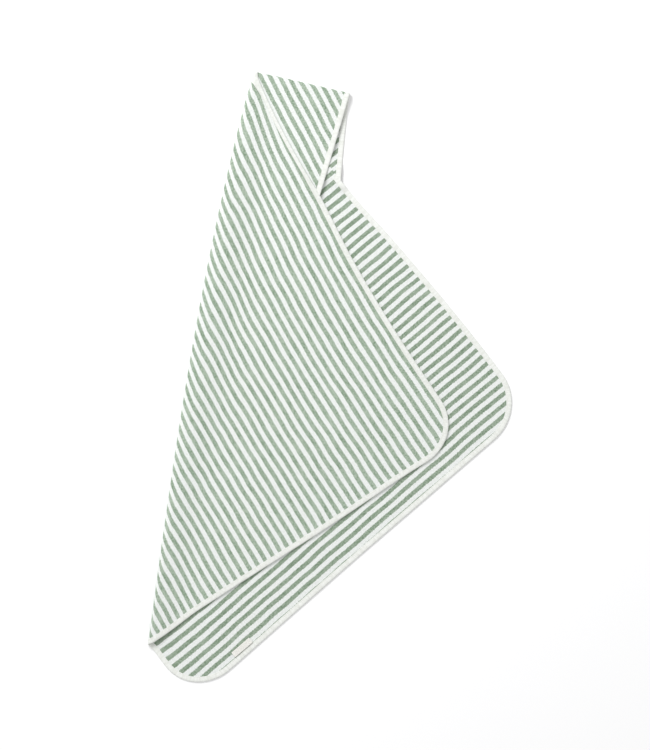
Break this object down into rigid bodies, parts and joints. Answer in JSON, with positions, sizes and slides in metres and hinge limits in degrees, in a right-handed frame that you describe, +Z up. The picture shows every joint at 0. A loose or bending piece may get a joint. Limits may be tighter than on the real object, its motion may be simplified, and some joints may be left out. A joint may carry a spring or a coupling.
{
  "type": "hooded baby towel",
  "caption": "Square striped baby towel with a corner hood, tape-bound all round, lying folded on its diagonal with the hood pulled out.",
  "frame": {"origin": "centre of the folded towel's footprint, on the surface it lies on", "axes": "+Y along the towel's length towards the hood corner, +X towards the side where the hood is pulled out, +Z up out of the surface"},
  "size_m": [0.5755, 0.9691, 0.0114],
  "materials": {
    "striped_cloth": "soft woven cotton in even sage and white stripes",
    "binding_tape": "matte off-white cotton bias tape",
    "sewing_thread": "matte off-white thread",
    "label_tape": "matte cream woven tape, blank"
  },
  "bodies": {
    "back_layer": {"back_panel": "striped_cloth", "back_edge_binding": "binding_tape", "back_edge_stitching": "sewing_thread", "back_hood_seam_thread": "sewing_thread", "back_hood_bar_tack": "sewing_thread", "label_tacks": "sewing_thread"},
    "front_layer": {"front_panel": "striped_cloth", "front_edge_binding": "binding_tape", "front_edge_stitching": "sewing_thread", "front_hood_seam_thread": "sewing_thread", "front_hood_bar_tack": "sewing_thread"},
    "hood_back": {"hood_back_panel": "striped_cloth", "hood_back_binding": "binding_tape", "hood_back_stitching": "sewing_thread"},
    "hood_front": {"hood_front_panel": "striped_cloth", "hood_front_binding": "binding_tape", "hood_front_stitching": "sewing_thread"},
    "label": {"woven_label": "label_tape"}
  },
  "joints": [
    {"name": "towel_fold", "type": "hinge", "parent": "back_layer", "child": "front_layer", "pos_m": [-0.11913, 0.48536, 0.0055], "axis": [-0.1822, -0.9833, 0], "range_deg": [0, 180]},
    {"name": "hood_seam", "type": "hinge", "parent": "back_layer", "child": "hood_back", "pos_m": [-0.11913, 0.48536, 0.0055], "axis": [0.6225, -0.7826, 0], "range_deg": [0, 180]},
    {"name": "hood_fold", "type": "hinge", "parent": "hood_back", "child": "hood_front", "pos_m": [-0.11913, 0.48536, 0.0055], "axis": [-0.9744, 0.225, 0], "range_deg": [0, 180]},
    {"name": "label_flip", "type": "hinge", "parent": "back_layer", "child": "label", "pos_m": [-0.13688, -0.43747, 0.0035], "axis": [0.7608, 0.649, 0], "range_deg": [0, 120]}
  ],
  "couplings": [
    {"joint": "hood_seam", "follows": "towel_fold", "ratio": 1},
    {"joint": "hood_fold", "follows": "towel_fold", "ratio": 1}
  ]
}
